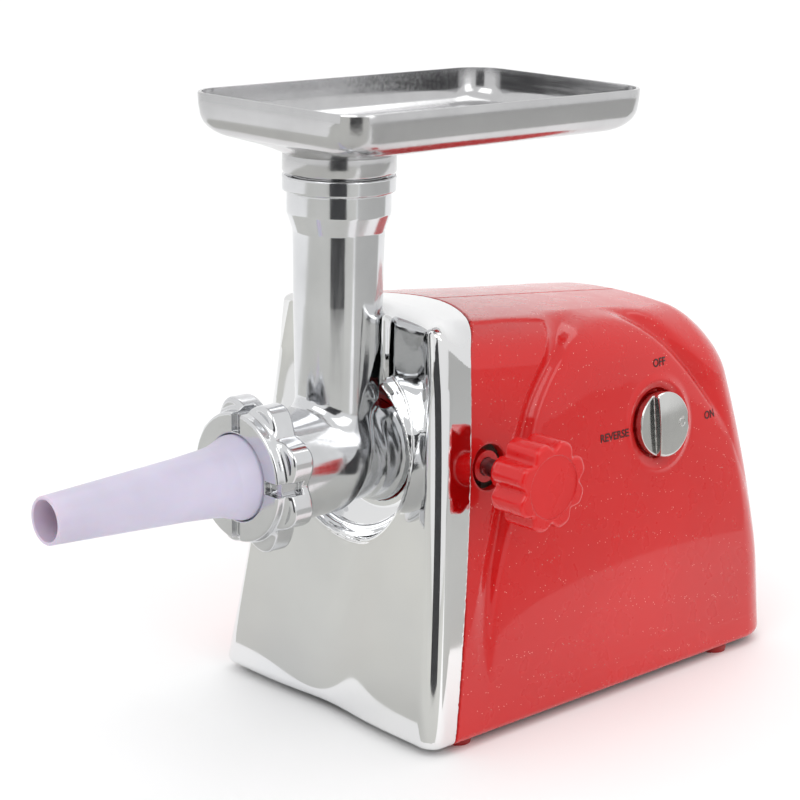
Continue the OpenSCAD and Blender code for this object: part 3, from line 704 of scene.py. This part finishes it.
def rounded_rect(half_x, y0, y1, r, z, count):
    """Ring of points round a rounded rectangle, spread evenly by angle and length."""
    cy = (y0 + y1) / 2
    hx, hy = half_x - r, (y1 - y0) / 2 - r
    quarter = count // 4
    straight, bend = quarter // 2, quarter - quarter // 2
    pts = []
    for k, (sx, sy) in enumerate(((1, 1), (-1, 1), (-1, -1), (1, -1))):
        for i in range(bend):
            a = math.pi / 2 * (k + i / bend)
            pts.append((sx * hx + r * math.cos(a), cy + sy * hy + r * math.sin(a), z))
        nx, ny = ((-sx, sy) if k % 2 == 0 else (sx, -sy))
        a = math.pi / 2 * (k + 1)
        start = np.array((sx * hx + r * math.cos(a), cy + sy * hy + r * math.sin(a)))
        end = np.array((nx * hx + r * math.cos(a), cy + ny * hy + r * math.sin(a)))
        for i in range(straight):
            q = start + (end - start) * i / straight
            pts.append((q[0], q[1], z))
    return np.array(pts)


def build_tray():
    """Deep pan with curved walls whose floor falls as a funnel into the spout."""
    count = 320

    def pan(d, z):
        return rounded_rect(TRAY_X - d, TRAY_FRONT + d, TRAY_BACK - d, TRAY_CORNER_R, z,
                            count)

    def spout(radius, z):
        ref = pan(0, z)
        a = np.arctan2(ref[:, 1] - TUBE_Y, ref[:, 0])
        return np.stack([radius * np.cos(a), TUBE_Y + radius * np.sin(a), np.full(count, z)], 1)

    def mix(a, b, s):
        return a * (1 - s) + b * s

    def side(d):
        """Rows from the rim down a nearly upright wall and round into the sloping floor."""
        rows = [pan(d, RIM_Z - 1), pan(d + 0.3, RIM_Z - 7), pan(d + 0.7, RIM_Z - 10)]
        for k in range(1, 10):
            a = k / 9 * math.radians(80)
            rows.append(pan(d + 0.7 + TRAY_BEND_R * (1 - math.cos(a)),
                            RIM_Z - 10 - TRAY_BEND_R * math.sin(a)))
        return rows

    outer = side(0)
    inner = [row + (0, 0, SHEET * k / 11) for k, row in enumerate(side(SHEET))]
    rim = [pan(0.3, RIM_Z - 0.2), pan(0.8, RIM_Z), pan(SHEET, RIM_Z - 0.2)]
    floor_out = [mix(outer[-1], spout(31, 321.5), s) for s in FLOOR_STEPS]
    floor_in = [mix(inner[-1], spout(26, 323), s) for s in FLOOR_STEPS]
    neck = [spout(30.8, 321), spout(31, 320), spout(31, 312), spout(30.6, 311.3),
            spout(26.2, 311.3), spout(25.4, 310.8), spout(25.4, 297.6), spout(24.9, 297.1),
            spout(24.1, 297.1), spout(23.6, 297.6), spout(23.6, 318), spout(24.2, 321.5)]
    rings = rim[::-1] + outer + floor_out + neck + floor_in[::-1] + inner[::-1]
    add(loft("tray_pan", rings, TRAY, 30), "tray", "tray_aluminium", "feed_tray")


def build_controls():
    """Lock knob and switch dial."""
    add(solid("knob_body", knob, (81, -110, 124), (123, -54, 180), 0.7, KNOB_RED),
        "knob", "knob_red", "lock_knob")
    add(solid("dial_body", dial, (68, 24, 131), (90, 71, 179), 0.55, DIAL_METAL),
        "dial", "dial_silver", "switch_dial")


def surface_x(y, z):
    """Outer X of the right shell at (y, z), found by bisection on its formula."""
    lo = np.full(np.shape(y), 55.0)
    hi = np.full(np.shape(y), 100.0)
    for _ in range(24):
        mid = (lo + hi) / 2
        out = shells(mid, y, z) > 0
        hi = np.where(out, mid, hi)
        lo = np.where(out, lo, mid)
    return lo


MARKS = [("mark_off", "OFF", 57.5, 189.8, 6.6), ("mark_on", "ON", 102.0, 151.5, 6.6),
         ("mark_reverse", "REVERSE", 14.0, 154.0, 6.4)]


def build_marks():
    """The generic words round the switch, laid on the shell as thin ink."""
    for name, word, y, z, size in MARKS:
        curve = bpy.data.curves.new(name, "FONT")
        curve.body = word
        curve.size = size
        curve.align_x = "CENTER"
        curve.align_y = "CENTER"
        curve.offset = 0.1
        curve.resolution_u = 4
        text = bpy.data.objects.new(name + "_text", curve)
        bpy.context.scene.collection.objects.link(text)
        bpy.context.view_layer.update()
        mesh = bpy.data.meshes.new_from_object(text.evaluated_get(
            bpy.context.evaluated_depsgraph_get()))
        bpy.data.objects.remove(text)
        co = np.array([v.co for v in mesh.vertices], float)
        py, pz = y + co[:, 0], z + co[:, 1]
        px = surface_x(py, pz) + 0.12
        mesh.vertices.foreach_set("co", (np.stack([px, py, pz], 1) * MM).ravel())
        mesh.update()
        mesh.materials.clear()
        mesh.materials.append(INK)
        obj = bpy.data.objects.new(name, mesh)
        bpy.context.scene.collection.objects.link(obj)
        thick = obj.modifiers.new("thickness", "SOLIDIFY")
        thick.thickness = 0.0001
        thick.offset = 1
        add(obj, "housing", "base_black")


CARRIED = {
    BLACK: ["base_plate", "switch_body", "cord_inlet", "brush_holders", "motor_fan"],
    FOOT_RED: ["foot_front_right", "foot_front_left", "foot_rear_right", "foot_rear_left"],
    STEEL: ["base_screws", "gearbox_screws", "bearing_front", "bearing_rear", "drive_shaft",
            "idler_gear", "lock_screw"],
    BLADE: ["cutting_plate", "cutting_blade"],
    LAMINATION: ["stator_core", "rotor"],
    COPPER: ["field_windings", "commutator"],
    ALUMINIUM: ["motor_frame"],
    HEAD: ["auger"],
    NYLON: ["gearbox_case", "gearbox_cover"],
    GEAR: ["output_gear"],
    KNOB_RED: ["neck_socket"],
}


def paint_cad():
    """Gives every carried-over CAD node its procedural material."""
    for material, names in CARRIED.items():
        for name in names:
            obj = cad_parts[name]
            obj.data.materials.clear()
            obj.data.materials.append(material)


# ---------------------------------------------------------------- stage
def place_camera():
    """Camera from the front right, looking 47 degrees round and 15 degrees down."""
    turn, down, roll = (math.radians(a) for a in (CAMERA_TURN, CAMERA_DOWN, CAMERA_ROLL))
    ahead = Vector((-math.sin(turn) * math.cos(down), math.cos(turn) * math.cos(down),
                    -math.sin(down)))
    right = Vector((math.cos(turn), math.sin(turn), 0))
    up = right.cross(ahead)
    side = math.cos(roll) * right + math.sin(roll) * up
    top = -math.sin(roll) * right + math.cos(roll) * up
    data = bpy.data.cameras.new("camera")
    data.lens = LENS
    data.sensor_width = SENSOR
    data.clip_end = 20
    cam = bpy.data.objects.new("camera", data)
    cam.matrix_world = Matrix(((side.x, top.x, -ahead.x, CAMERA_PLACE[0]),
                               (side.y, top.y, -ahead.y, CAMERA_PLACE[1]),
                               (side.z, top.z, -ahead.z, CAMERA_PLACE[2]), (0, 0, 0, 1)))
    bpy.context.scene.collection.objects.link(cam)
    bpy.context.scene.camera = cam


def area_light(name, place, target, size, power):
    """Rectangular lamp at place, aimed at target; lengths in metres."""
    data = bpy.data.lights.new(name, "AREA")
    data.shape = "RECTANGLE"
    data.size, data.size_y = size
    data.energy = power
    lamp = bpy.data.objects.new(name, data)
    lamp.location = place
    lamp.rotation_euler = (Vector(target) - Vector(place)).to_track_quat("-Z", "Y").to_euler()
    bpy.context.scene.collection.objects.link(lamp)


def card(name, place, target, size, color):
    """Reflector or flag that only reflections see."""
    n = Nodes(name + "_paint", color, Roughness=0.9)
    n.link(n.blend(n.noise(3, 2), color, tuple(c * 0.9 for c in color[:3]) + (1,)), "Base Color")
    w, h = size[0] / 2, size[1] / 2
    obj = new_object(name, [(-w / MM, -h / MM, 0), (w / MM, -h / MM, 0), (w / MM, h / MM, 0),
                            (-w / MM, h / MM, 0)], [(0, 1, 2, 3)], n.mat)
    obj.location = place
    obj.rotation_euler = (Vector(target) - Vector(place)).to_track_quat("Z", "Y").to_euler()
    obj.visible_camera = False
    obj.visible_shadow = False
    obj.visible_diffuse = False


def build_stage():
    """Pale sweep behind the camera's view, soft lights, and cards for the metal to reflect."""
    scene = bpy.context.scene
    scene.view_settings.view_transform = "Standard"
    world = bpy.data.worlds.new("studio")
    scene.world = world
    world.use_nodes = True
    back = world.node_tree.nodes["Background"]
    back.inputs["Color"].default_value = (1, 1, 1, 1)
    back.inputs["Strength"].default_value = 0.9
    n = Nodes("floor_paint", srgb(252, 252, 252), Roughness=0.7)
    n.link(n.blend(n.noise(2, 2), srgb(252, 252, 252), srgb(249, 249, 249)), "Base Color")
    near, start, bend_r, top, half = -1200, 1400, 900, 4200, 3500
    bend = [(near, 0), (start, 0)]
    for k in range(1, 13):
        a = k / 12 * math.pi / 2
        bend.append((start + bend_r * math.sin(a), bend_r * (1 - math.cos(a))))
    bend.append((start + bend_r, top))
    turn = math.radians(CAMERA_TURN)
    ahead, right = (-math.sin(turn), math.cos(turn)), (math.cos(turn), math.sin(turn))
    points = [(ahead[0] * d + right[0] * s, ahead[1] * d + right[1] * s, z)
              for d, z in bend for s in (-half, half)]
    faces = [(2 * k, 2 * k + 1, 2 * k + 3, 2 * k + 2) for k in range(len(bend) - 1)]
    sweep = new_object("floor", points, faces, n.mat)
    area_light("key", (0.5, -1.5, 1.9), (0, 0, 0.15), (1.4, 1.2), 10)
    area_light("side", (2.1, -0.1, 1.5), (0, 0, 0.15), (0.9, 1.6), 7)
    area_light("top", (-0.2, 0.9, 2.2), (0, 0, 0.2), (1.8, 1.2), 9)
    card("card_front", (0.9, -1.45, 0.001), (0.9, -1.45, 1), (3.2, 2.5), srgb(205, 205, 201))
    card("card_right", (1.9, 1.2, 0.001), (1.9, 1.2, 1), (3.2, 2.6), srgb(185, 185, 183))
    card("flag_front", (0.65, -0.72, 0.15), (0, -0.13, 0.2), (0.56, 1.1), srgb(60, 60, 62))


build_housing()
build_head()
build_tube()
build_tray()
build_controls()
build_marks()
paint_cad()
place_camera()
build_stage()
